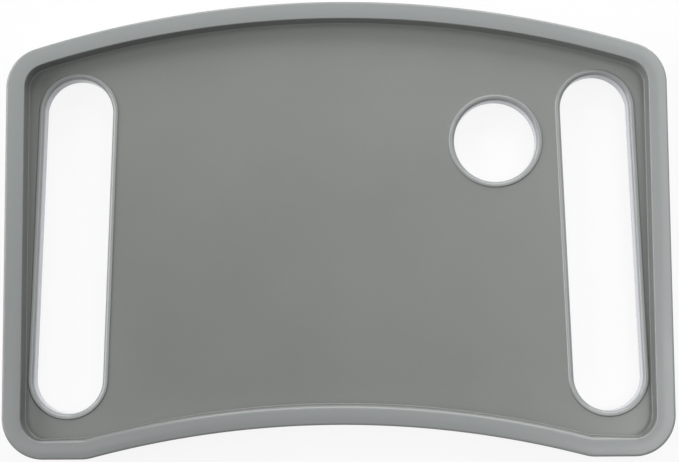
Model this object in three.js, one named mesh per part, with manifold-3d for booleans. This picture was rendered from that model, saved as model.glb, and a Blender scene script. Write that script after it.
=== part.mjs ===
// Walker tray: a moulded tray with a raised rim, a slot round each hand grip of a folding walker
// and a cup opening. Four swivel latches under the floor turn out below the walker's side rails.
// Millimetres, +Z up, +X to the user's right, +Y away from the user. The origin is the middle of
// the plane that the tray stands on.

import * as THREE from 'three';
import { mergeVertices } from 'three/addons/utils/BufferGeometryUtils.js';
import Module from 'manifold-3d';

// Plan of the tray
const GRIP_SPACING = 436.4;
const SIDE_MARGIN = 54.8;
const FAR_MARGIN = 56;
const NEAR_MARGIN = 31.6;
const FAR_EDGE_RADIUS = 845;
const NEAR_EDGE_RADIUS = 791;
const NEAR_EDGE_DIP = 26.5;
const FAR_CORNER_RADIUS = 34;
const NEAR_CORNER_RADIUS = 34.5;
const FOOT_BLEND_RADIUS = 31;

// Section through the rim and the floor
const TRAY_HEIGHT = 36;
const WELL_DEPTH = 15;
const FLOOR_THICKNESS = 3;
const WELL_WALL = 3;
const SKIRT_WALL = 2.6;
const SKIRT_DRAFT = 0.6;
const RIM_WIDTH = 14;
const SIDE_RIM_EXTRA = 1.1;
const RIM_CROWN = 0.8;
const RIM_TOP_WALL = 2.8;
const RIM_OUTER_RADIUS = 2;
const RIM_INNER_RADIUS = 1.5;
const WELL_DRAFT = 1.1;
const FLOOR_FILLET = 0.8;

// Openings: size over the raised lip, and the section of the lip and its flange
const SLOT_LENGTH = 288;
const SLOT_WIDTH = 66.6;
const SLOT_SPLAY = THREE.MathUtils.degToRad(1.75);
const CUP_DIAMETER = 78.2;
const CUP_TO_SLOT = 13.6;
const CUP_TO_SLOT_END = 59.9;
const LIP_RISE = 1.2;
const LIP_FLANK = 1.5;
const LIP_SHOULDER_SHARE = 0.8;
const LIP_ROLL_RADIUS = 3.5;
const FLANGE_WALL = 2.8;
const FLANGE_DRAFT = 0.2;

// Ribs under the floor
const RIB_DEPTH = 6;
const RIB_THICKNESS = 2.2;
const RIB_PITCH = 78;
const RIB_ROOT = 1;

// Swivel latches, their screws and washers
const LATCH_TO_SLOT_END = 31.5;
const LATCH_INSET = 6.6;
const LATCH_REACH = 82;
const LATCH_THICKNESS = 4.4;
const LATCH_WEB = 2.2;
const LATCH_HUB_RADIUS = 9.5;
const LATCH_TIP_RADIUS = 6.5;
const LATCH_CHAMFER = 0.6;
const LATCH_RELIEF = 0.4;
const GRIP_RIDGE_COUNT = 3;
const GRIP_RIDGE_RISE = 0.8;
const GRIP_RIDGE_WIDTH = 1.4;
const GRIP_RIDGE_PITCH = 3.4;
const BOSS_RADIUS = 7;
const COLLAR_WALL = 2.2;
const COLLAR_OVERLAP = 2.6;
const SCREW_DIAMETER = 4;
const SCREW_LENGTH = 13;
const SCREW_HEAD_DIAMETER = 8;
const SCREW_HEAD_HEIGHT = 2;
const DRIVE_DEPTH = 1.1;
const DRIVE_WIDTH = 1;
const DRIVE_LENGTH = 4.4;
const WASHER_DIAMETER = 9;
const WASHER_THICKNESS = 0.6;

// Clearances
const SEAT_GAP = 0.3;
const BORE_GAP = 0.35;
const COUNTERBORE_GAP = 0.7;
const TURNING_GAP = 0.5;
const FOOT_CLEARANCE = 0.5;
const SCREW_TIP_GAP = 0.7;
const CUT_OVERRUN = 2;
const WELD_DISTANCE = 1e-4;

// Facets of each curve
const FAR_EDGE_STEPS = 10;
const NEAR_EDGE_STEPS = 8;
const CORNER_STEPS = 9;
const BLEND_STEPS = 3;
const EDGE_STEPS = 3;
const CROWN_STEPS = 4;
const ROLL_STEPS = 4;
const SLOT_END_STEPS = 18;
const CUP_STEPS = 44;
const ROUND_STEPS = 24;
const SCREW_STEPS = 16;

// Sizes that follow
const TRAY_WIDTH = GRIP_SPACING + 2 * SIDE_MARGIN;
const TRAY_DEPTH = SLOT_LENGTH + FAR_MARGIN + NEAR_MARGIN;
const SLOT_Y = NEAR_MARGIN + SLOT_LENGTH / 2 - TRAY_DEPTH / 2;
const CUP_X = GRIP_SPACING / 2 - SLOT_WIDTH / 2 - CUP_TO_SLOT - CUP_DIAMETER / 2;
const CUP_Y = SLOT_Y + SLOT_LENGTH / 2 - CUP_TO_SLOT_END;
const FLOOR_TOP = TRAY_HEIGHT - RIM_CROWN - WELL_DEPTH;
const FLOOR_UNDER = FLOOR_TOP - FLOOR_THICKNESS;
const HEAD_TOP = FOOT_CLEARANCE + SCREW_HEAD_HEIGHT;
const WASHER_UNDER = HEAD_TOP + SEAT_GAP;
const SEAT_UNDER = WASHER_UNDER + WASHER_THICKNESS + SEAT_GAP;
const LATCH_TOP = SEAT_UNDER + LATCH_WEB;
const LATCH_UNDER = LATCH_TOP - LATCH_THICKNESS;
const FLANGE_UNDER = LATCH_TOP + SEAT_GAP;
const FLANGE_INSET = LIP_FLANK + LIP_ROLL_RADIUS;
const LATCH_OFFSET = SLOT_WIDTH / 2 + LATCH_INSET;
const LATCH_SPREAD = SLOT_LENGTH - 2 * LATCH_TO_SLOT_END;
const COLLAR_RADIUS = LATCH_HUB_RADIUS + TURNING_GAP + COLLAR_WALL;
const BORE_RADIUS = SCREW_DIAMETER / 2 + BORE_GAP;

const wasm = await Module();
wasm.setup();

// Solid bounded by a closed geometry
function solid(geometry) {
  const bare = geometry.index ? geometry.toNonIndexed() : geometry.clone();
  bare.deleteAttribute('normal');
  bare.deleteAttribute('uv');
  const merged = mergeVertices(bare, WELD_DISTANCE);
  return new wasm.Manifold(new wasm.Mesh({
    numProp: 3,
    vertProperties: new Float32Array(merged.attributes.position.array),
    triVerts: new Uint32Array(merged.index.array),
  }));
}

// Flat-shaded geometry of a solid
function geometryOf(body) {
  const { vertProperties, triVerts } = body.getMesh();
  const indexed = new THREE.BufferGeometry();
  indexed.setAttribute('position', new THREE.BufferAttribute(vertProperties, 3));
  indexed.setIndex(new THREE.BufferAttribute(triVerts, 1));
  const faceted = indexed.toNonIndexed();
  faceted.computeVertexNormals();
  return faceted;
}

// Points on an arc about a centre, both ends included
function arc(x, y, radius, from, to, steps) {
  return Array.from({ length: steps + 1 }, (_, i) => {
    const angle = from + ((to - from) * i) / steps;
    return new THREE.Vector2(x + radius * Math.cos(angle), y + radius * Math.sin(angle));
  });
}

// Plan outline of the tray, moved in from the outer edge by inset, counter-clockwise.
// All insets have matching points. The side rims are a little wider than the far and near ones,
// so the corners' centres move in with the rim.
function trayOutline(inset) {
  const narrowing = SIDE_RIM_EXTRA * Math.min(inset / RIM_WIDTH, 1);
  const halfWidth = TRAY_WIDTH / 2;
  const halfDepth = TRAY_DEPTH / 2;
  const farCentreY = halfDepth - FAR_EDGE_RADIUS;
  const farCornerX = halfWidth - FAR_CORNER_RADIUS;
  const farCornerY = farCentreY
    + Math.sqrt((FAR_EDGE_RADIUS - FAR_CORNER_RADIUS) ** 2 - farCornerX ** 2);
  const farTurn = Math.atan2(farCornerY - farCentreY, farCornerX);
  const nearCentreY = NEAR_EDGE_DIP - halfDepth - NEAR_EDGE_RADIUS;
  const blendY = FOOT_BLEND_RADIUS - halfDepth;
  const blendX = Math.sqrt((NEAR_EDGE_RADIUS + FOOT_BLEND_RADIUS) ** 2
    - (blendY - nearCentreY) ** 2);
  const nearTurn = Math.atan2(blendY - nearCentreY, blendX);
  const half = [
    ...arc(0, nearCentreY, NEAR_EDGE_RADIUS + inset, Math.PI / 2, nearTurn, NEAR_EDGE_STEPS),
    ...arc(blendX, blendY, FOOT_BLEND_RADIUS - inset, nearTurn - Math.PI, -Math.PI / 2,
      BLEND_STEPS).slice(1),
    ...arc(halfWidth - NEAR_CORNER_RADIUS - narrowing, NEAR_CORNER_RADIUS - halfDepth,
      NEAR_CORNER_RADIUS - inset, -Math.PI / 2, 0, CORNER_STEPS),
    ...arc(farCornerX - narrowing, farCornerY, FAR_CORNER_RADIUS - inset, 0, farTurn, CORNER_STEPS),
    ...arc(0, farCentreY, FAR_EDGE_RADIUS - inset, farTurn, Math.PI / 2, FAR_EDGE_STEPS).slice(1),
  ];
  const mirrored = half.slice(1, -1).reverse().map((p) => new THREE.Vector2(-p.x, p.y));
  return [...half, ...mirrored];
}

// Outline of a slot about its own middle, moved in from the lip by inset
function slotOutline(inset) {
  const radius = SLOT_WIDTH / 2;
  const reach = SLOT_LENGTH / 2 - radius;
  return [
    ...arc(0, reach, radius - inset, 0, Math.PI, SLOT_END_STEPS),
    ...arc(0, -reach, radius - inset, Math.PI, 2 * Math.PI, SLOT_END_STEPS),
  ];
}

// Outline of the cup opening about its own middle, moved in from the lip by inset
function cupOutline(inset) {
  return arc(0, 0, CUP_DIAMETER / 2 - inset, 0, 2 * Math.PI, CUP_STEPS).slice(1);
}

// Skin through matching rings of points; section lists [inset, height] from the inside outwards
// over the top. A closed section joins its last ring to its first, an open one is capped.
function skin(outline, section, closed) {
  const rings = section.map(([inset, z]) => outline(inset).map((p) => new THREE.Vector3(p.x, p.y, z)));
  const count = rings[0].length;
  const positions = rings.flat().flatMap((p) => [p.x, p.y, p.z]);
  const index = [];
  const bands = closed ? rings.length : rings.length - 1;
  for (let band = 0; band < bands; band += 1) {
    const inner = band * count;
    const outer = ((band + 1) % rings.length) * count;
    for (let i = 0; i < count; i += 1) {
      const next = (i + 1) % count;
      index.push(inner + i, outer + i, outer + next, inner + i, outer + next, inner + next);
    }
  }
  if (!closed) {
    const last = (rings.length - 1) * count;
    for (const [a, b, c] of THREE.ShapeUtils.triangulateShape(outline(section[0][0]), [])) {
      index.push(a, b, c);
    }
    for (const [a, b, c] of THREE.ShapeUtils.triangulateShape(outline(section.at(-1)[0]), [])) {
      index.push(last + c, last + b, last + a);
    }
  }
  const geometry = new THREE.BufferGeometry();
  geometry.setAttribute('position', new THREE.BufferAttribute(new Float32Array(positions), 3));
  geometry.setIndex(index);
  return geometry;
}

// Straight prism of an outline between two heights
function prism(points, from, to) {
  const settings = { depth: to - from, bevelEnabled: false };
  const geometry = new THREE.ExtrudeGeometry(new THREE.Shape(points), settings);
  return geometry.translate(0, 0, from);
}

// Upright cylinder between two heights
function cylinder(radius, from, to) {
  const geometry = new THREE.CylinderGeometry(radius, radius, to - from, ROUND_STEPS);
  return geometry.rotateX(Math.PI / 2).translate(0, 0, (from + to) / 2);
}

// Solid turned about the vertical axis from [radius, height] points
function turned(section) {
  const points = section.map(([radius, z]) => new THREE.Vector2(radius, z));
  return new THREE.LatheGeometry(points, SCREW_STEPS).rotateX(Math.PI / 2);
}

// Section of the rim, wall and floor: floor, fillet, well wall, crowned rim, skirt and underside
function shellSection() {
  const wallFoot = RIM_WIDTH + WELL_DRAFT;
  const rimEdge = TRAY_HEIGHT - RIM_CROWN;
  const fillet = arc(wallFoot + FLOOR_FILLET, FLOOR_TOP + FLOOR_FILLET, FLOOR_FILLET,
    -Math.PI / 2, -Math.PI, EDGE_STEPS);
  const innerEdge = arc(RIM_WIDTH - RIM_INNER_RADIUS, rimEdge - RIM_INNER_RADIUS, RIM_INNER_RADIUS,
    0, Math.PI / 2, EDGE_STEPS);
  const crownFrom = RIM_WIDTH - RIM_INNER_RADIUS;
  const crownTo = SKIRT_DRAFT + RIM_OUTER_RADIUS;
  const crown = Array.from({ length: CROWN_STEPS - 1 }, (_, i) => {
    const share = (i + 1) / CROWN_STEPS;
    return new THREE.Vector2(crownFrom + (crownTo - crownFrom) * share,
      rimEdge + RIM_CROWN * Math.sin(Math.PI * share));
  });
  const outerEdge = arc(crownTo, rimEdge - RIM_OUTER_RADIUS, RIM_OUTER_RADIUS,
    Math.PI / 2, Math.PI, EDGE_STEPS);
  const channelTop = rimEdge - RIM_TOP_WALL;
  const top = [...fillet, ...innerEdge, ...crown, ...outerEdge].map((p) => [p.x, p.y]);
  return [
    ...top,
    [0, 0],
    [SKIRT_WALL, 0],
    [SKIRT_WALL + SKIRT_DRAFT, channelTop],
    [RIM_WIDTH - WELL_WALL, channelTop],
    [wallFoot - WELL_WALL, FLOOR_UNDER],
  ];
}

// Section of an opening's lip and flange, closed: up the inside, over the lip, down the outside
function lipSection() {
  const crest = FLOOR_TOP + LIP_RISE;
  const roll = arc(LIP_FLANK, crest - LIP_ROLL_RADIUS, LIP_ROLL_RADIUS, 0, Math.PI / 2, ROLL_STEPS);
  const bottom = FLANGE_INSET + FLANGE_DRAFT;
  return [
    [bottom, FLANGE_UNDER],
    ...roll.map((p) => [p.x, p.y]),
    [LIP_FLANK / 2, FLOOR_TOP + LIP_RISE * LIP_SHOULDER_SHARE],
    [0, FLOOR_TOP],
    [LIP_FLANK / 2, FLOOR_TOP - FLOOR_THICKNESS / 2],
    [FLANGE_INSET - FLANGE_WALL, FLOOR_TOP - FLOOR_THICKNESS / 2],
    [bottom - FLANGE_WALL, FLANGE_UNDER],
  ];
}

// Places the parts of one side's slot: side is 1 on the right and -1 on the left
function atSlot(geometry, side) {
  return geometry.rotateZ(side * SLOT_SPLAY).translate((side * GRIP_SPACING) / 2, SLOT_Y, 0);
}

// Middle of a latch pivot in its slot's own frame; end is 1 at the far latch and -1 at the near one
function pivotInSlot(side, end) {
  return new THREE.Vector2(-side * LATCH_OFFSET, (end * LATCH_SPREAD) / 2);
}

// Ribs crossing under the floor, trimmed to the inside of the well
function ribGrid() {
  const wallOuter = RIM_WIDTH + WELL_DRAFT - WELL_WALL;
  const height = RIB_DEPTH + RIB_ROOT;
  const middle = FLOOR_UNDER - RIB_DEPTH + height / 2;
  const columns = Math.floor((GRIP_SPACING / 2 - LATCH_OFFSET) / RIB_PITCH);
  const rows = Math.floor(TRAY_DEPTH / 2 / RIB_PITCH);
  const across = 2 * (GRIP_SPACING / 2 - SLOT_WIDTH / 2 + FLANGE_INSET / 2);
  let ribs = null;
  const add = (geometry) => {
    ribs = ribs ? ribs.add(solid(geometry)) : solid(geometry);
  };
  for (let column = -columns; column <= columns; column += 1) {
    add(new THREE.BoxGeometry(RIB_THICKNESS, TRAY_DEPTH, height).translate(column * RIB_PITCH, 0, middle));
  }
  for (let row = -rows; row <= rows; row += 1) {
    add(new THREE.BoxGeometry(across, RIB_THICKNESS, height).translate(0, row * RIB_PITCH, middle));
  }
  const inside = solid(prism(trayOutline(wallOuter - WELL_WALL / 2), 0, TRAY_HEIGHT));
  return ribs.intersect(inside);
}

// C-shaped wall round a latch hub; its two ends stop the arm at stowed and at turned out
function stopCollar() {
  const inner = LATCH_HUB_RADIUS + TURNING_GAP;
  const reach = LATCH_REACH - LATCH_TIP_RADIUS;
  const tangent = Math.acos((LATCH_HUB_RADIUS - LATCH_TIP_RADIUS) / reach);
  const halfArm = tangent - Math.acos(LATCH_HUB_RADIUS / inner) + TURNING_GAP / inner;
  const from = halfArm;
  const to = 1.5 * Math.PI - halfArm;
  const points = [
    ...arc(0, 0, COLLAR_RADIUS, from, to, ROUND_STEPS / 2),
    ...arc(0, 0, inner, to, from, ROUND_STEPS / 2),
  ];
  return prism(points, LATCH_TOP - COLLAR_OVERLAP, FLOOR_UNDER + RIB_ROOT);
}

// The arm lies along -Y when stowed at a far right latch; the others are its mirror images
function mirrored(geometry, flipX, flipY) {
  geometry.scale(flipX, flipY, 1);
  if (flipX * flipY < 0) {
    const { index, attributes } = geometry;
    const count = index ? index.count : attributes.position.count;
    const order = Array.from({ length: count }, (_, i) => (index ? index.getX(i) : i));
    for (let i = 0; i < order.length; i += 3) {
      [order[i + 1], order[i + 2]] = [order[i + 2], order[i + 1]];
    }
    geometry.setIndex(order);
  }
  return geometry;
}

// The moulded tray: shell, ribs, flanged openings, and a boss and collar for each latch
function trayBody() {
  const cutBottom = -CUT_OVERRUN;
  const cutTop = TRAY_HEIGHT + CUT_OVERRUN;
  const cutInset = FLANGE_INSET - FLANGE_WALL / 2;
  let body = solid(skin(trayOutline, shellSection(), false)).add(ribGrid());
  const pilotTop = HEAD_TOP + SCREW_LENGTH + SCREW_TIP_GAP;
  for (const side of [-1, 1]) {
    for (const end of [-1, 1]) {
      const pivot = pivotInSlot(side, end);
      const place = (geometry) => solid(atSlot(geometry.translate(pivot.x, pivot.y, 0), side));
      body = body
        .add(place(cylinder(BOSS_RADIUS, FLANGE_UNDER, FLOOR_UNDER + RIB_ROOT)))
        .add(place(mirrored(stopCollar(), side, end)))
        .subtract(place(cylinder(BORE_RADIUS, FLANGE_UNDER - CUT_OVERRUN, pilotTop)));
    }
    body = body
      .subtract(solid(atSlot(prism(slotOutline(cutInset), cutBottom, cutTop), side)))
      .add(solid(atSlot(skin(slotOutline, lipSection(), true), side)));
  }
  return body
    .subtract(solid(prism(cupOutline(cutInset), cutBottom, cutTop).translate(CUP_X, CUP_Y, 0)))
    .add(solid(skin(cupOutline, lipSection(), true).translate(CUP_X, CUP_Y, 0)));
}

// Latch arm with a hub, a recessed seat for the washer, a bearing face that lies lower than the
// hub's, and ridges under its tip
function latch() {
  const reach = LATCH_REACH - LATCH_TIP_RADIUS;
  const tangent = Math.acos((LATCH_HUB_RADIUS - LATCH_TIP_RADIUS) / reach);
  const hub = LATCH_HUB_RADIUS - LATCH_CHAMFER;
  const tip = LATCH_TIP_RADIUS - LATCH_CHAMFER;
  const down = -Math.PI / 2;
  const points = [
    ...arc(0, 0, hub, down + tangent, down - tangent + 2 * Math.PI, ROUND_STEPS),
    ...arc(0, -reach, tip, down - tangent, down + tangent, ROUND_STEPS / 2),
  ];
  const arm = new THREE.ExtrudeGeometry(new THREE.Shape(points), {
    depth: LATCH_THICKNESS - 2 * LATCH_CHAMFER,
    bevelEnabled: true,
    bevelThickness: LATCH_CHAMFER,
    bevelSize: LATCH_CHAMFER,
    bevelSegments: 1,
  }).translate(0, 0, LATCH_UNDER + LATCH_CHAMFER);
  let body = solid(arm)
    .subtract(solid(cylinder(BORE_RADIUS, LATCH_UNDER - CUT_OVERRUN, LATCH_TOP + CUT_OVERRUN)))
    .subtract(solid(cylinder(WASHER_DIAMETER / 2 + COUNTERBORE_GAP, LATCH_UNDER - CUT_OVERRUN, SEAT_UNDER)));
  const relief = new THREE.BoxGeometry(2 * LATCH_HUB_RADIUS, LATCH_REACH, LATCH_RELIEF + CUT_OVERRUN);
  relief.translate(0, -COLLAR_RADIUS - LATCH_REACH / 2, LATCH_TOP + (CUT_OVERRUN - LATCH_RELIEF) / 2);
  body = body.subtract(solid(relief));
  for (let ridge = 0; ridge < GRIP_RIDGE_COUNT; ridge += 1) {
    const bar = new THREE.BoxGeometry(2 * tip, GRIP_RIDGE_WIDTH, GRIP_RIDGE_RISE + LATCH_CHAMFER);
    const y = -reach - tip / 2 + ridge * GRIP_RIDGE_PITCH;
    bar.translate(0, y, LATCH_UNDER + (LATCH_CHAMFER - GRIP_RIDGE_RISE) / 2);
    const trim = prism(points, LATCH_UNDER - CUT_OVERRUN, LATCH_UNDER + LATCH_CHAMFER);
    body = body.add(solid(bar).intersect(solid(trim)));
  }
  return body;
}

// Pan-head screw standing head down, with a cross recess
function screw() {
  const head = SCREW_HEAD_DIAMETER / 2;
  const shank = SCREW_DIAMETER / 2;
  const round = SCREW_HEAD_HEIGHT / 2;
  const body = solid(turned([
    [0, FOOT_CLEARANCE],
    [head - round, FOOT_CLEARANCE],
    [head - round / 4, FOOT_CLEARANCE + round / 2],
    [head, FOOT_CLEARANCE + round],
    [head, HEAD_TOP],
    [shank, HEAD_TOP],
    [shank, HEAD_TOP + SCREW_LENGTH - shank],
    [shank / 4, HEAD_TOP + SCREW_LENGTH],
    [0, HEAD_TOP + SCREW_LENGTH],
  ]));
  const depth = DRIVE_DEPTH + CUT_OVERRUN;
  const middle = FOOT_CLEARANCE + DRIVE_DEPTH - depth / 2;
  const wing = new THREE.BoxGeometry(DRIVE_LENGTH, DRIVE_WIDTH, depth).translate(0, 0, middle);
  const cross = new THREE.BoxGeometry(DRIVE_WIDTH, DRIVE_LENGTH, depth).translate(0, 0, middle);
  return body.subtract(solid(wing)).subtract(solid(cross));
}

// Flat washer between the screw head and the latch
function washer() {
  const top = WASHER_UNDER + WASHER_THICKNESS;
  return solid(turned([
    [BORE_RADIUS, WASHER_UNDER],
    [WASHER_DIAMETER / 2, WASHER_UNDER],
    [WASHER_DIAMETER / 2, top],
    [BORE_RADIUS, top],
    [BORE_RADIUS, WASHER_UNDER],
  ]));
}

const TRAY_GREY = new THREE.MeshStandardMaterial({ color: 0x858a88, roughness: 0.38, metalness: 0 });
const LATCH_GREY = new THREE.MeshStandardMaterial({ color: 0x5c605f, roughness: 0.5, metalness: 0 });
const ZINC = new THREE.MeshStandardMaterial({ color: 0xb9bcc0, roughness: 0.32, metalness: 1 });

const tray = new THREE.Group();

function piece(name, body, material) {
  const mesh = new THREE.Mesh(geometryOf(body), material);
  mesh.name = name;
  return mesh;
}

tray.add(piece('tray_body', trayBody(), TRAY_GREY));

const latchSolid = latch();
const screwSolid = screw();
const washerSolid = washer();
for (const side of [-1, 1]) {
  const slot = new THREE.Group();
  slot.position.set((side * GRIP_SPACING) / 2, SLOT_Y, 0);
  slot.rotation.z = side * SLOT_SPLAY;
  for (const end of [-1, 1]) {
    const place = `${end > 0 ? 'far' : 'near'}_${side > 0 ? 'right' : 'left'}`;
    const pivot = pivotInSlot(side, end);
    const station = new THREE.Group();
    station.position.set(pivot.x, pivot.y, 0);
    const arm = piece(`latch_${place}`, latchSolid, LATCH_GREY);
    arm.rotation.z = end > 0 ? 0 : Math.PI;
    station.add(arm);
    station.add(piece(`latch_screw_${place}`, screwSolid, ZINC));
    station.add(piece(`latch_washer_${place}`, washerSolid, ZINC));
    slot.add(station);
  }
  tray.add(slot);
}

export default tray;
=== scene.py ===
import math

import bpy
import bmesh
from mathutils import Matrix, Vector


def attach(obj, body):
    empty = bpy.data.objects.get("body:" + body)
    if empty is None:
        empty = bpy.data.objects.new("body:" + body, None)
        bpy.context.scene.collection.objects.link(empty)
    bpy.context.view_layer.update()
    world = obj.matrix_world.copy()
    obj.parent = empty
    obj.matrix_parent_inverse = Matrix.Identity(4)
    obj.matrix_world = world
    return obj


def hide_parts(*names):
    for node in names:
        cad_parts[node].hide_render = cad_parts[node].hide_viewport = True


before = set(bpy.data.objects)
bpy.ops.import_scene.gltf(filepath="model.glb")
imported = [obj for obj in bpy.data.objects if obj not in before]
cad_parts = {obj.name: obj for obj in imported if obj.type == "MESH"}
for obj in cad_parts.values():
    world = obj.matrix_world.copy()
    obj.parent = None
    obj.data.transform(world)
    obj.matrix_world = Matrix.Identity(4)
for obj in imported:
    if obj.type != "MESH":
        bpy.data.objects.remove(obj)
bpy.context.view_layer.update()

MM = 0.001
RIGHT_ANGLE = math.pi / 2
FULL_TURN = 2 * math.pi

# Plan of the tray, in millimetres
GRIP_SPACING = 436.4
SIDE_MARGIN = 54.8
FAR_MARGIN = 56.0
NEAR_MARGIN = 31.6
FAR_EDGE_RADIUS = 845.0
NEAR_EDGE_RADIUS = 791.0
NEAR_EDGE_DIP = 26.5
FAR_CORNER_RADIUS = 34.0
NEAR_CORNER_RADIUS = 34.5
FOOT_BLEND_RADIUS = 31.0

# Section through the rim and the floor
TRAY_HEIGHT = 36.0
WELL_DEPTH = 15.5
FLOOR_THICKNESS = 3.0
WELL_WALL = 3.0
SKIRT_WALL = 2.6
SKIRT_DRAFT = 0.6
SKIRT_FOOT_RADIUS = 0.5
RIM_WIDTH = 14.8
SIDE_RIM_EXTRA = 1.1
RIM_CROWN = 0.3
RIM_TOP_WALL = 2.8
RIM_OUTER_RADIUS = 2.0
RIM_INNER_RADIUS = 0.8
WELL_DRAFT = 0.3
FLOOR_FILLET = 0.8

# The near edge, where the rim rolls down into the well: radius, how much further in it
# reaches, how far from the middle it ends, and over what length it fades out
NEAR_ROLL_RADIUS = 4.0
NEAR_ROLL_EXTRA = 2.0
NEAR_ROLL_END = 246.0
NEAR_ROLL_BLEND = 20.0

# Openings
SLOT_LENGTH = 288.0
SLOT_WIDTH = 66.6
SLOT_SPLAY = math.radians(1.75)
CUP_DIAMETER = 78.2
CUP_TO_SLOT = 13.6
CUP_TO_SLOT_END = 59.9
LIP_RISE = 1.2
LIP_FLANK = 1.5
LIP_ROLL_RADIUS = 3.5
LIP_SINK = 0.02
LIP_FLANK_SHARES = ((0.62, 0.9), (0.3, 0.56))
FLANGE_WALL = 2.8
FLANGE_DRAFT = 0.2

# Under the floor
RIB_DEPTH = 6.0
RIB_THICKNESS = 2.2
RIB_PITCH = 78.0
RIB_ROOT = 1.0
LATCH_SPREAD = 225.0
LATCH_INSET = 6.6
LATCH_REACH = 82.0
LATCH_HUB_RADIUS = 9.5
LATCH_TIP_RADIUS = 6.5
LATCH_TOP = 5.9
BOSS_RADIUS = 7.0
BORE_RADIUS = 2.35
PILOT_TOP = 16.2
COLLAR_WALL = 2.2
COLLAR_OVERLAP = 2.6
TURNING_GAP = 0.5
SEAT_GAP = 0.3
CUT_OVERRUN = 2.0

# Facets
EDGE_SWEEP_STEPS = 36
CORNER_STEPS = 24
BLEND_STEPS = 8
EDGE_STEPS = 6
CROWN_STEPS = 12
ROLL_STEPS = 8
SLOT_END_STEPS = 40
CUP_STEPS = 96
ROUND_STEPS = 32
CREASE_ANGLE = math.radians(32)
NORMAL_WEIGHT = 90

# Sizes that follow
TRAY_WIDTH = GRIP_SPACING + 2 * SIDE_MARGIN
TRAY_DEPTH = SLOT_LENGTH + FAR_MARGIN + NEAR_MARGIN
SLOT_Y = NEAR_MARGIN + SLOT_LENGTH / 2 - TRAY_DEPTH / 2
CUP_X = GRIP_SPACING / 2 - SLOT_WIDTH / 2 - CUP_TO_SLOT - CUP_DIAMETER / 2
CUP_Y = SLOT_Y + SLOT_LENGTH / 2 - CUP_TO_SLOT_END
RIM_EDGE = TRAY_HEIGHT - RIM_CROWN
FLOOR_TOP = RIM_EDGE - WELL_DEPTH
FLOOR_UNDER = FLOOR_TOP - FLOOR_THICKNESS
FLANGE_UNDER = LATCH_TOP + SEAT_GAP
FLANGE_INSET = LIP_FLANK + LIP_ROLL_RADIUS
LATCH_OFFSET = SLOT_WIDTH / 2 + LATCH_INSET


# Camera, first, because everything is judged through it
CAMERA_DISTANCE = 1.1456
CAMERA_PITCH = math.radians(-4.918)
CAMERA_YAW = math.radians(-0.68)
CAMERA_ROLL = math.radians(0.378)
CAMERA_FOCAL_PIXELS = 1385.0
PHOTO_WIDTH_PIXELS = 679.0
SENSOR_WIDTH = 36.0
CLIP_START = 0.05
CLIP_END = 50.0
AIM_SHIFT = Vector((-0.00223, 0.00229, 0.0))


def make_camera():
    """Camera over the tray, a little towards the user, as the photograph was taken."""
    turn = (Matrix.Rotation(CAMERA_ROLL, 3, "Z") @ Matrix.Rotation(CAMERA_PITCH, 3, "X")
            @ Matrix.Rotation(CAMERA_YAW, 3, "Y"))
    back = turn.transposed()
    data = bpy.data.cameras.new("camera")
    data.sensor_width = SENSOR_WIDTH
    data.lens = SENSOR_WIDTH * CAMERA_FOCAL_PIXELS / PHOTO_WIDTH_PIXELS
    data.clip_start = CLIP_START
    data.clip_end = CLIP_END
    camera = bpy.data.objects.new("camera", data)
    bpy.context.scene.collection.objects.link(camera)
    tray_floor = Vector((0, 0, FLOOR_TOP * MM))
    place = back @ Vector((0.0, 0.0, CAMERA_DISTANCE)) - AIM_SHIFT + tray_floor
    camera.matrix_world = Matrix.Translation(place) @ back.to_4x4()
    bpy.context.scene.camera = camera


# Outlines
def arc(x, y, radius, start, end, steps):
    """Points on an arc about (x, y), both ends included."""
    points = []
    for i in range(steps + 1):
        angle = start + (end - start) * i / steps
        points.append((x + radius * math.cos(angle), y + radius * math.sin(angle)))
    return points


def tray_outline(inset):
    """Plan outline of the tray, counter-clockwise, moved in from the outer edge by inset."""
    half_width, half_depth = TRAY_WIDTH / 2, TRAY_DEPTH / 2
    narrowing = SIDE_RIM_EXTRA * min(inset / RIM_WIDTH, 1.0)
    far_y = half_depth - FAR_EDGE_RADIUS
    corner_x = half_width - FAR_CORNER_RADIUS
    corner_y = far_y + math.sqrt((FAR_EDGE_RADIUS - FAR_CORNER_RADIUS) ** 2 - corner_x ** 2)
    far_turn = math.atan2(corner_y - far_y, corner_x)
    near_y = NEAR_EDGE_DIP - half_depth - NEAR_EDGE_RADIUS
    blend_y = FOOT_BLEND_RADIUS - half_depth
    blend_x = math.sqrt((NEAR_EDGE_RADIUS + FOOT_BLEND_RADIUS) ** 2 - (blend_y - near_y) ** 2)
    near_turn = math.atan2(blend_y - near_y, blend_x)
    half = arc(0, near_y, NEAR_EDGE_RADIUS + inset, RIGHT_ANGLE, near_turn, EDGE_SWEEP_STEPS)
    half += arc(blend_x, blend_y, FOOT_BLEND_RADIUS - inset,
                near_turn - math.pi, -RIGHT_ANGLE, BLEND_STEPS)[1:]
    half += arc(half_width - NEAR_CORNER_RADIUS - narrowing, NEAR_CORNER_RADIUS - half_depth,
                NEAR_CORNER_RADIUS - inset, -RIGHT_ANGLE, 0, CORNER_STEPS)
    half += arc(corner_x - narrowing, corner_y, FAR_CORNER_RADIUS - inset,
                0, far_turn, CORNER_STEPS)
    half += arc(0, far_y, FAR_EDGE_RADIUS - inset, far_turn, RIGHT_ANGLE, EDGE_SWEEP_STEPS)[1:]
    return half + [(-x, y) for x, y in half[-2:0:-1]]


def slot_outline(inset):
    """Outline of a slot about its own middle, moved in from the lip by inset."""
    radius = SLOT_WIDTH / 2
    reach = SLOT_LENGTH / 2 - radius
    return (arc(0, reach, radius - inset, 0, math.pi, SLOT_END_STEPS)
            + arc(0, -reach, radius - inset, math.pi, FULL_TURN, SLOT_END_STEPS))


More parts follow.
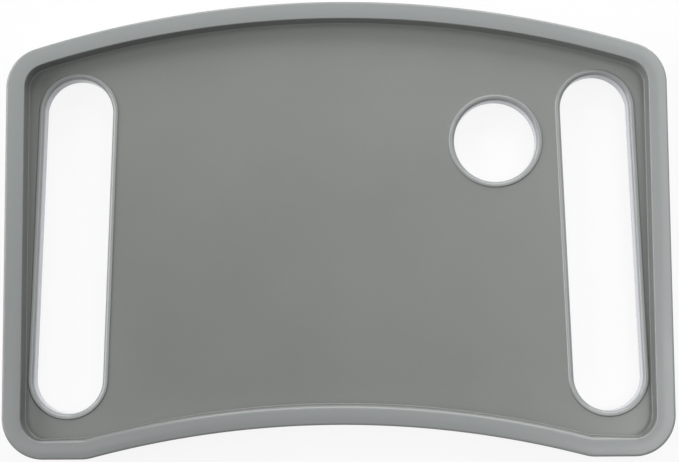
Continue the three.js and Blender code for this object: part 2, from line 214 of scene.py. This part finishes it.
def cup_outline(inset):
    """Outline of the cup opening about its own middle, moved in from the lip by inset."""
    return arc(0, 0, CUP_DIAMETER / 2 - inset, 0, FULL_TURN, CUP_STEPS)[1:]


# Sections, as (inset, height) from the inside outwards over the top
def shell_section(edge_radius, extra):
    """Floor, fillet, well wall, crowned rim, skirt and underside.

    The rim's inner edge has edge_radius, and extra widens the rim over the well.
    """
    wall_foot = RIM_WIDTH + extra + WELL_DRAFT
    crown_from = RIM_WIDTH + extra - edge_radius
    crown_to = SKIRT_DRAFT + RIM_OUTER_RADIUS
    section = arc(wall_foot + FLOOR_FILLET, FLOOR_TOP + FLOOR_FILLET, FLOOR_FILLET,
                  -RIGHT_ANGLE, -math.pi, EDGE_STEPS)
    section += arc(crown_from, RIM_EDGE - edge_radius, edge_radius, 0, RIGHT_ANGLE, ROLL_STEPS)
    for i in range(1, CROWN_STEPS):
        share = i / CROWN_STEPS
        section.append((crown_from + (crown_to - crown_from) * share,
                        RIM_EDGE + RIM_CROWN * math.sin(math.pi * share)))
    section += arc(crown_to, RIM_EDGE - RIM_OUTER_RADIUS, RIM_OUTER_RADIUS,
                   RIGHT_ANGLE, math.pi, EDGE_STEPS)
    foot = SKIRT_FOOT_RADIUS
    section += arc(foot, foot, foot, math.pi, 3 * RIGHT_ANGLE, EDGE_STEPS // 2)
    section += arc(SKIRT_WALL - foot, foot, foot, -RIGHT_ANGLE, 0, EDGE_STEPS // 2)
    channel_top = RIM_EDGE - RIM_TOP_WALL
    section += [
        (SKIRT_WALL + SKIRT_DRAFT, channel_top - foot),
        (SKIRT_WALL + SKIRT_DRAFT + foot, channel_top),
        (RIM_WIDTH - WELL_WALL - foot, channel_top),
        (RIM_WIDTH - WELL_WALL, channel_top - foot),
        (RIM_WIDTH + WELL_DRAFT - WELL_WALL, FLOOR_UNDER),
    ]
    return section


def lip_section():
    """Up the inside of a flange, over its lip and down the outside; closed."""
    crest = FLOOR_TOP + LIP_RISE
    bottom = FLANGE_INSET + FLANGE_DRAFT
    foot = SKIRT_FOOT_RADIUS
    within_floor = FLOOR_TOP - FLOOR_THICKNESS / 2
    section = [(bottom - foot, FLANGE_UNDER), (bottom, FLANGE_UNDER + foot)]
    section += arc(LIP_FLANK, crest - LIP_ROLL_RADIUS, LIP_ROLL_RADIUS, 0, RIGHT_ANGLE, ROLL_STEPS)
    section += [(LIP_FLANK * across, FLOOR_TOP + LIP_RISE * up) for across, up in LIP_FLANK_SHARES]
    section += [
        (0, FLOOR_TOP - LIP_SINK),
        (LIP_FLANK / 2, within_floor),
        (FLANGE_INSET - FLANGE_WALL, within_floor),
        (bottom - FLANGE_WALL, FLANGE_UNDER + foot),
        (bottom - FLANGE_WALL + foot, FLANGE_UNDER),
    ]
    return section


# Meshes
def mesh_object(name, build, matrix=Matrix.Identity(4)):
    """A mesh object whose geometry is in millimetres in build, stored in metres."""
    bm = bmesh.new()
    build(bm)
    bmesh.ops.transform(bm, matrix=Matrix.Scale(MM, 4) @ matrix, verts=bm.verts)
    bmesh.ops.recalc_face_normals(bm, faces=bm.faces)
    mesh = bpy.data.meshes.new(name)
    bm.to_mesh(mesh)
    bm.free()
    obj = bpy.data.objects.new(name, mesh)
    bpy.context.scene.collection.objects.link(obj)
    return obj


def shell_rings():
    """Rings of the tray's shell, whose rim rolls down into the well along the near edge."""
    shares = [min(max((NEAR_ROLL_END - abs(x)) / NEAR_ROLL_BLEND, 0.0), 1.0) if y < 0 else 0.0
              for x, y in tray_outline(RIM_WIDTH)]
    plain_section = shell_section(RIM_INNER_RADIUS, 0.0)
    rolled_section = shell_section(NEAR_ROLL_RADIUS, NEAR_ROLL_EXTRA)
    rings = []
    for (plain_inset, plain_z), (rolled_inset, rolled_z) in zip(plain_section, rolled_section):
        points = zip(tray_outline(plain_inset), tray_outline(rolled_inset), shares)
        rings.append([Vector((*plain, plain_z)).lerp(Vector((*rolled, rolled_z)), share)
                      for plain, rolled, share in points])
    return rings


def lip_rings(outline):
    """Rings of a lip and its flange round an opening."""
    return [[(x, y, z) for x, y in outline(inset)] for inset, z in lip_section()]


def skin(rings_of_points, closed):
    """Builder of a skin through matching rings; open skins are capped."""
    def build(bm):
        rings = [[bm.verts.new(point) for point in points] for points in rings_of_points]
        count = len(rings[0])
        pairs = list(zip(rings, rings[1:]))
        if closed:
            pairs.append((rings[-1], rings[0]))
        for inner, outer in pairs:
            for i in range(count):
                k = (i + 1) % count
                bm.faces.new((inner[i], outer[i], outer[k], inner[k]))
        if not closed:
            bm.faces.new(rings[0])
            bm.faces.new(list(reversed(rings[-1])))
    return build


def prism(points, low, high):
    """Builder of an upright prism of an outline."""
    def build(bm):
        bottom = [bm.verts.new((x, y, low)) for x, y in points]
        top = [bm.verts.new((x, y, high)) for x, y in points]
        for i in range(len(points)):
            k = (i + 1) % len(points)
            bm.faces.new((bottom[i], bottom[k], top[k], top[i]))
        bm.faces.new(top)
        bm.faces.new(list(reversed(bottom)))
    return build


def box_points(width, depth):
    """Corners of a rectangle about the origin, counter-clockwise."""
    x, y = width / 2, depth / 2
    return [(-x, -y), (x, -y), (x, y), (-x, y)]


def combine(target, tools, operation):
    """Cuts or joins target with tools by one boolean each, and removes the tools."""
    for tool in tools:
        modifier = target.modifiers.new("combine", "BOOLEAN")
        modifier.operation = operation
        modifier.solver = "MANIFOLD"
        modifier.object = tool
        apply_modifiers(target)
        bpy.data.objects.remove(tool)


def apply_modifiers(obj):
    """Replaces the object's mesh by what its modifiers make of it."""
    graph = bpy.context.evaluated_depsgraph_get()
    made = bpy.data.meshes.new_from_object(obj.evaluated_get(graph))
    obj.modifiers.clear()
    old = obj.data
    obj.data = made
    bpy.data.meshes.remove(old)


def smooth(obj):
    """Smooth shading with crisp creases, weighted so that flat faces stay flat."""
    obj.data.polygons.foreach_set("use_smooth", [True] * len(obj.data.polygons))
    obj.data.set_sharp_from_angle(angle=CREASE_ANGLE)
    weighted = obj.modifiers.new("weighted_normals", "WEIGHTED_NORMAL")
    weighted.keep_sharp = True
    weighted.weight = NORMAL_WEIGHT
    apply_modifiers(obj)


def at_slot(side):
    """Place of the slot at the left (-1) or the right (1)."""
    middle = Matrix.Translation((side * GRIP_SPACING / 2, SLOT_Y, 0))
    return middle @ Matrix.Rotation(side * SLOT_SPLAY, 4, "Z")


def at_pivot(side, end):
    """Place of a latch's pivot, at the near (-1) or the far (1) end of a slot."""
    return at_slot(side) @ Matrix.Translation((-side * LATCH_OFFSET, end * LATCH_SPREAD / 2, 0))


def rib_grid():
    """Ribs crossing under the floor, trimmed to the inside of the well."""
    low, high = FLOOR_UNDER - RIB_DEPTH, FLOOR_UNDER + RIB_ROOT
    columns = int((GRIP_SPACING / 2 - LATCH_OFFSET) // RIB_PITCH)
    rows = int((TRAY_DEPTH / 2) // RIB_PITCH)
    across = 2 * (GRIP_SPACING / 2 - SLOT_WIDTH / 2 + FLANGE_INSET / 2)
    bars = []
    for column in range(-columns, columns + 1):
        place = Matrix.Translation((column * RIB_PITCH, 0, 0))
        bar = prism(box_points(RIB_THICKNESS, TRAY_DEPTH), low, high)
        bars.append(mesh_object("rib", bar, place))
    for row in range(-rows, rows + 1):
        place = Matrix.Translation((0, row * RIB_PITCH, 0))
        bar = prism(box_points(across, RIB_THICKNESS), low, high)
        bars.append(mesh_object("rib", bar, place))
    grid = bars[0]
    combine(grid, bars[1:], "UNION")
    trim = RIM_WIDTH + WELL_DRAFT - WELL_WALL - WELL_WALL / 2
    inside = mesh_object("inside", prism(tray_outline(trim), -CUT_OVERRUN, TRAY_HEIGHT))
    combine(grid, [inside], "INTERSECT")
    return grid


def stop_collar():
    """C-shaped wall round a latch hub, for the far right latch."""
    inner = LATCH_HUB_RADIUS + TURNING_GAP
    outer = inner + COLLAR_WALL
    reach = LATCH_REACH - LATCH_TIP_RADIUS
    tangent = math.acos((LATCH_HUB_RADIUS - LATCH_TIP_RADIUS) / reach)
    half_arm = tangent - math.acos(LATCH_HUB_RADIUS / inner) + TURNING_GAP / inner
    start, end = half_arm, 3 * RIGHT_ANGLE - half_arm
    points = arc(0, 0, outer, start, end, ROUND_STEPS // 2)
    points += arc(0, 0, inner, end, start, ROUND_STEPS // 2)
    return prism(points, LATCH_TOP - COLLAR_OVERLAP, FLOOR_UNDER + RIB_ROOT)


def tray_shell():
    """The moulded tray, close to its CAD solid, with finer curves and the rolled near edge."""
    body = mesh_object("tray_moulding", skin(shell_rings(), False))
    joined, pilots = [rib_grid()], []
    circle = arc(0, 0, 1, 0, FULL_TURN, ROUND_STEPS)[1:]
    boss = prism([(x * BOSS_RADIUS, y * BOSS_RADIUS) for x, y in circle],
                 FLANGE_UNDER, FLOOR_UNDER + RIB_ROOT)
    bore = prism([(x * BORE_RADIUS, y * BORE_RADIUS) for x, y in circle],
                 FLANGE_UNDER - CUT_OVERRUN, PILOT_TOP)
    for side in (-1, 1):
        for end in (-1, 1):
            place = at_pivot(side, end)
            flip = Matrix.Diagonal((side, end, 1, 1))
            joined.append(mesh_object("boss", boss, place))
            joined.append(mesh_object("collar", stop_collar(), place @ flip))
            pilots.append(mesh_object("pilot", bore, place))
    combine(body, joined, "UNION")
    cut = FLANGE_INSET - FLANGE_WALL / 2
    low, high = -CUT_OVERRUN, TRAY_HEIGHT + CUT_OVERRUN
    openings = [(slot_outline, at_slot(-1)), (slot_outline, at_slot(1)),
                (cup_outline, Matrix.Translation((CUP_X, CUP_Y, 0)))]
    cuts = [mesh_object("cut", prism(outline(cut), low, high), place)
            for outline, place in openings]
    lips = [mesh_object("lip", skin(lip_rings(outline), True), place)
            for outline, place in openings]
    combine(body, cuts + pilots, "DIFFERENCE")
    combine(body, lips, "UNION")
    smooth(body)
    return body


# Materials
# Colours are linear. A noise is its scale per metre, its detail and, where it isn't the usual
# one, its roughness. A span is the part of a value that is used, and what it becomes.
TRAY_COLOUR = (0.244, 0.255, 0.244)
TRAY_SHADE = (0.228, 0.239, 0.23)
# Painted sheen: the rim is paler than the floor, standing in for light glancing off its crown
RIM_SHEEN_COLOUR = (0.288, 0.304, 0.302)
# Painted highlight: the lips are paler, standing in for light caught on their rolled crests
LIP_HIGHLIGHT_COLOUR = (0.335, 0.35, 0.346)
LIP_HIGHLIGHT_SHADE = (0.315, 0.33, 0.328)
# Painted reflection: the inside of the flanges is pale lavender, standing in for the white below
# mirrored at a glancing view
FLANGE_REFLECTION_COLOUR = (0.56, 0.575, 0.63)
LATCH_COLOUR = (0.112, 0.12, 0.118)
LATCH_SHADE = (0.1, 0.108, 0.106)
ZINC_COLOUR = (0.68, 0.69, 0.7)
ZINC_SHADE = (0.52, 0.53, 0.55)

# Roughness, depth of the grain and depth of the slow wave, in metres
TRAY_FINISH = (0.2, 0.000008, 0.0005)
LIP_FINISH = (0.14, 0.000004, 0.0003)
LATCH_FINISH = (0.42, 0.00002, 0.0001)

CLOUD_NOISE = (9.0, 2.0)
CLOUD_SHARE = 0.7
FLECK_NOISE = (420.0, 4.0, 0.6)
FLECK_SHARE = 0.3
TONE_SPAN = (0.35, 0.65, 0.0, 1.0)
# Share of the well's depth above which the painted rim sheen begins
RIM_SHEEN_SHARE = 0.8
# Painted shading: the tone darkens towards the near left and lightens towards the far right, as the
# light falls off across the tray; across counts half as much as along
FALLOFF_ACROSS_SHARE = 0.5
FLOOR_SHADING_SPAN = (-0.25, 0.2, 0.75, 1.08)
RIM_SHADING_SPAN = (-0.25, 0.0, 0.83, 1.06)
SCUFF_STRETCH = (60.0, 900.0, 60.0)
SCUFF_NOISE = (1.0, 4.0, 0.65)
SCUFF_SPAN = (0.56, 0.74, 0.0, 1.0)
SCUFF_ROUGHNESS = 0.05
RUB_NOISE = (16.0, 3.0)
RUB_SPAN = (0.5, 0.68, 0.0, 1.0)
GLOSS_NOISE = (34.0, 3.0)
GLOSS_RANGE = (0.3, 0.7)
GLOSS_CHANGE = 0.035
WAVE_NOISE = (12.0, 1.0, 0.3)
GRAIN_NOISE = (1500.0, 2.0, 0.5)
PLASTIC_IOR = 1.49

OXIDE_NOISE = (700.0, 3.0)
OXIDE_SPAN = (0.35, 0.7, 0.0, 1.0)
ZINC_GLOSS_SPAN = (0.3, 0.7, 0.24, 0.36)
MARKS_STRETCH = (5200.0, 5200.0, 300.0)
MARKS_NOISE = (1.0, 2.0)
MARKS_STRENGTH = 0.5
MARKS_DEPTH = 0.00002


class Nodes:
    """Short hand for building a node tree."""

    def __init__(self, tree):
        self.tree = tree
        tree.nodes.clear()

    def add(self, kind, settings=None, **inputs):
        """A node with its settings, and its inputs linked or set."""
        node = self.tree.nodes.new(kind)
        for key, value in (settings or {}).items():
            setattr(node, key, value)
        for key, value in inputs.items():
            self.set(node, key.replace("_", " "), value)
        return node

    def set(self, node, key, value):
        """Links a socket to an input, or sets the input to a value."""
        socket = node.inputs[int(key)] if key.isdigit() else node.inputs[key]
        if isinstance(value, bpy.types.NodeSocket):
            self.tree.links.new(value, socket)
        else:
            socket.default_value = value

    def noise(self, coordinates, scale, detail, roughness=0.5):
        """Height of a noise at the coordinates."""
        return self.add("ShaderNodeTexNoise", Vector=coordinates, Scale=scale, Detail=detail,
                        Roughness=roughness).outputs["Fac"]

    def span(self, value, low, high, to_low, to_high):
        """The value from low to high, clamped and turned into to_low to to_high."""
        node = self.add("ShaderNodeMapRange", {"clamp": True}, Value=value)
        keys = ("From Min", "From Max", "To Min", "To Max")
        for key, number in zip(keys, (low, high, to_low, to_high)):
            node.inputs[key].default_value = number
        return node.outputs["Result"]

    def math(self, operation, a, b):
        """Result of a sum of two values."""
        node = self.add("ShaderNodeMath", {"operation": operation})
        self.set(node, "0", a)
        self.set(node, "1", b)
        return node.outputs[0]

    def mix(self, factor, a, b):
        """Colour a blended into colour b."""
        node = self.add("ShaderNodeMix", {"data_type": "RGBA"}, Factor=factor)
        self.set(node, "6", a)
        self.set(node, "7", b)
        return node.outputs[2]

    def scaled(self, colour, factor):
        """A colour made paler or darker."""
        node = self.add("ShaderNodeVectorMath", {"operation": "SCALE"})
        self.set(node, "0", colour)
        self.set(node, "Scale", factor)
        return node.outputs["Vector"]

    def stretched(self, coordinates, scale):
        """Coordinates scaled by a number for each axis."""
        node = self.add("ShaderNodeMapping", Vector=coordinates)
        node.inputs["Scale"].default_value = scale
        return node.outputs["Vector"]


def new_material(name):
    """A material and its empty node tree."""
    material = bpy.data.materials.new(name)
    material.use_nodes = True
    return material, Nodes(material.node_tree)


def moulded_plastic(name, colour, shade, finish, rim_sheen_colour=None, flange_reflection_colour=None):
    """Satin moulded plastic: faint mottling, fine grain, a slow wave in the surface and rub marks.

    Given a rim colour it turns into that towards the rim, a painted sheen, and painted shading
    darkens its tone towards the near left and lightens it towards the far right. Given a flange
    colour it turns into that below the lips, a painted reflection.
    """
    roughness, grain_depth, wave_depth = finish
    material, n = new_material(name)
    place = n.add("ShaderNodeTexCoord").outputs["Object"]
    cloud = n.noise(place, *CLOUD_NOISE)
    fleck = n.noise(place, *FLECK_NOISE)
    tone = n.math("ADD", n.math("MULTIPLY", cloud, CLOUD_SHARE),
                  n.math("MULTIPLY", fleck, FLECK_SHARE))
    base = n.mix(n.span(tone, *TONE_SPAN), (*shade, 1.0), (*colour, 1.0))
    if rim_sheen_colour:
        # Painted sheen, paler towards the rim
        across, along, height = n.add("ShaderNodeSeparateXYZ", Vector=place).outputs
        rim_from = FLOOR_TOP + WELL_DEPTH * RIM_SHEEN_SHARE
        on_rim_sheen = n.span(height, rim_from * MM, RIM_EDGE * MM, 0.0, 1.0)
        # Painted shading: darker towards the near left, lighter towards the far right, on floor and
        # rim
        shading_falloff = n.math("ADD", n.math("MULTIPLY", across, FALLOFF_ACROSS_SHARE), along)
        base = n.scaled(base, n.span(shading_falloff, *FLOOR_SHADING_SPAN))
        base = n.mix(on_rim_sheen, base, n.scaled(rim_sheen_colour, n.span(shading_falloff, *RIM_SHADING_SPAN)))
    # Painted reflection on the inside of the flanges, below the lips
    if flange_reflection_colour:
        height = n.add("ShaderNodeSeparateXYZ", Vector=place).outputs["Z"]
        flange_from = FLOOR_TOP - LIP_ROLL_RADIUS
        on_flange_reflection = n.span(height, flange_from * MM, FLOOR_TOP * MM, 1.0, 0.0)
        base = n.mix(on_flange_reflection, base, (*flange_reflection_colour, 1.0))
    scuff = n.noise(n.stretched(place, SCUFF_STRETCH), *SCUFF_NOISE)
    rub = n.noise(place, *RUB_NOISE)
    scuffed = n.math("MULTIPLY", n.span(scuff, *SCUFF_SPAN), n.span(rub, *RUB_SPAN))
    gloss = n.span(n.noise(place, *GLOSS_NOISE), *GLOSS_RANGE,
                   roughness - GLOSS_CHANGE, roughness + GLOSS_CHANGE)
    gloss = n.math("ADD", gloss, n.math("MULTIPLY", scuffed, SCUFF_ROUGHNESS))
    wave = n.noise(place, *WAVE_NOISE)
    grain = n.noise(place, *GRAIN_NOISE)
    slow = n.add("ShaderNodeBump", Height=wave, Strength=1.0, Distance=wave_depth)
    fine = n.add("ShaderNodeBump", Height=grain, Strength=1.0, Distance=grain_depth,
                 Normal=slow.outputs[0])
    shader = n.add("ShaderNodeBsdfPrincipled", Base_Color=base, Roughness=gloss,
                   Normal=fine.outputs[0])
    shader.inputs["IOR"].default_value = PLASTIC_IOR
    n.add("ShaderNodeOutputMaterial", Surface=shader.outputs[0])
    return material


def zinc_plate(name):
    """Bright zinc plating with faint turning marks and cloudy oxide."""
    material, n = new_material(name)
    place = n.add("ShaderNodeTexCoord").outputs["Object"]
    oxide = n.noise(place, *OXIDE_NOISE)
    marks = n.noise(n.stretched(place, MARKS_STRETCH), *MARKS_NOISE)
    base = n.mix(n.span(oxide, *OXIDE_SPAN), (*ZINC_SHADE, 1.0), (*ZINC_COLOUR, 1.0))
    bump = n.add("ShaderNodeBump", Height=marks, Strength=MARKS_STRENGTH, Distance=MARKS_DEPTH)
    gloss = n.span(oxide, *ZINC_GLOSS_SPAN)
    shader = n.add("ShaderNodeBsdfPrincipled", Base_Color=base, Roughness=gloss,
                   Normal=bump.outputs[0])
    shader.inputs["Metallic"].default_value = 1.0
    n.add("ShaderNodeOutputMaterial", Surface=shader.outputs[0])
    return material


def opening_inset(point):
    """How far a point in millimetres lies inside the outline of an opening's lip.

    It is negative outside.
    """
    insets = [CUP_DIAMETER / 2 - math.hypot(point.x - CUP_X, point.y - CUP_Y)]
    for side in (-1, 1):
        local = at_slot(side).inverted() @ point
        past_straight = max(abs(local.y) - (SLOT_LENGTH - SLOT_WIDTH) / 2, 0.0)
        insets.append(SLOT_WIDTH / 2 - math.hypot(local.x, past_straight))
    return max(insets)


def lines_opening(points):
    """Whether a face with these corners lies on an opening's lip or on the inside of its flange."""
    on_lip = min(point.z for point in points) > FLOOR_TOP - FLOOR_THICKNESS / 2
    least = LIP_FLANK / 4 if on_lip else FLANGE_INSET - SKIRT_FOOT_RADIUS
    return min(opening_inset(point) for point in points) > least


def dress():
    """Gives every piece its material, and the tray moulding its body."""
    # The tray takes the painted rim sheen and the painted shading across it
    tray_plastic = moulded_plastic("tray_moulded", TRAY_COLOUR, TRAY_SHADE, TRAY_FINISH,
                                   rim_sheen_colour=RIM_SHEEN_COLOUR)
    # The lips take a painted highlight, and the inside of their flanges a painted reflection
    lip_highlight_plastic = moulded_plastic("lip_painted_light", LIP_HIGHLIGHT_COLOUR, LIP_HIGHLIGHT_SHADE, LIP_FINISH,
                                  flange_reflection_colour=FLANGE_REFLECTION_COLOUR)
    latch_plastic = moulded_plastic("latch_moulded", LATCH_COLOUR, LATCH_SHADE, LATCH_FINISH)
    zinc = zinc_plate("zinc_plate")
    moulding = tray_shell()
    moulding.data.materials.clear()
    moulding.data.materials.append(tray_plastic)
    moulding.data.materials.append(lip_highlight_plastic)
    corners = [vertex.co / MM for vertex in moulding.data.vertices]
    for face in moulding.data.polygons:
        face.material_index = 1 if lines_opening([corners[i] for i in face.vertices]) else 0
    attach(moulding, "tray")
    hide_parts("tray_body")
    for name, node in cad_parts.items():
        if name == "tray_body":
            continue
        steel = "screw" in name or "washer" in name
        for material_slot in node.material_slots:
            material_slot.material = zinc if steel else latch_plastic


# Studio
FLOOR_SIZE = 12.0
FLOOR_ALBEDO = 0.95
WHITE_SHARE = 0.88
WHITE = (1.0, 1.0, 1.0, 1.0)

# Name, place and size in metres, and watts of each lamp; all face the middle of the tray
LAMPS = (
    ("left_panel", (-4.4, 0.7, 2.4), (4.8, 3.3), 224.0),
    ("far_panel", (1.0, 4.3, 2.4), (5.8, 3.3), 222.0),
    ("right_panel", (1.3, 0.45, 1.7), (1.3, 1.3), 10.5),
    ("near_right_panel", (0.68, -0.36, 1.5), (0.6, 0.5), 2.5),
    ("near_left_panel", (-0.78, -0.3, 1.5), (0.4, 0.8), 1.1),
)


def seen_directly(n):
    """1 where the camera or a reflection looks, and 0 for the light that falls on things."""
    path = n.add("ShaderNodeLightPath").outputs
    mirrored = n.math("MAXIMUM", path["Is Glossy Ray"], path["Is Transmission Ray"])
    return n.math("MAXIMUM", path["Is Camera Ray"], mirrored)


def make_floor():
    """Pale floor that reads white and keeps the tray's shadow."""
    def build(bm):
        width = FLOOR_SIZE / MM
        bm.faces.new([bm.verts.new((x, y, 0)) for x, y in box_points(width, width)])
    floor = mesh_object("floor", build)
    material, n = new_material("studio_floor")
    matt = n.add("ShaderNodeBsdfDiffuse", Color=(FLOOR_ALBEDO, FLOOR_ALBEDO, FLOOR_ALBEDO, 1.0))
    white = n.add("ShaderNodeEmission", Color=WHITE, Strength=1.0)
    mixed = n.add("ShaderNodeMixShader", Fac=n.math("MULTIPLY", seen_directly(n), WHITE_SHARE))
    n.set(mixed, "1", matt.outputs[0])
    n.set(mixed, "2", white.outputs[0])
    n.add("ShaderNodeOutputMaterial", Surface=mixed.outputs[0])
    floor.data.materials.append(material)


def make_world():
    """Surroundings that are white where the camera or a reflection sees them."""
    world = bpy.data.worlds.new("studio")
    bpy.context.scene.world = world
    world.use_nodes = True
    n = Nodes(world.node_tree)
    light = n.add("ShaderNodeBackground", Color=WHITE, Strength=seen_directly(n))
    n.add("ShaderNodeOutputWorld", Surface=light.outputs[0])


def make_lamps():
    """Large soft panels left and far, and weaker ones above the right and near the user."""
    for name, place, size, watts in LAMPS:
        data = bpy.data.lights.new(name, "AREA")
        data.shape = "RECTANGLE"
        data.size, data.size_y = size
        data.energy = watts
        lamp = bpy.data.objects.new(name, data)
        bpy.context.scene.collection.objects.link(lamp)
        lamp.location = place
        lamp.rotation_mode = "QUATERNION"
        lamp.rotation_quaternion = (-Vector(place)).to_track_quat("-Z", "Y")


make_camera()
dress()
make_floor()
make_world()
make_lamps()

scene = bpy.context.scene
scene.view_settings.view_transform = "Standard"
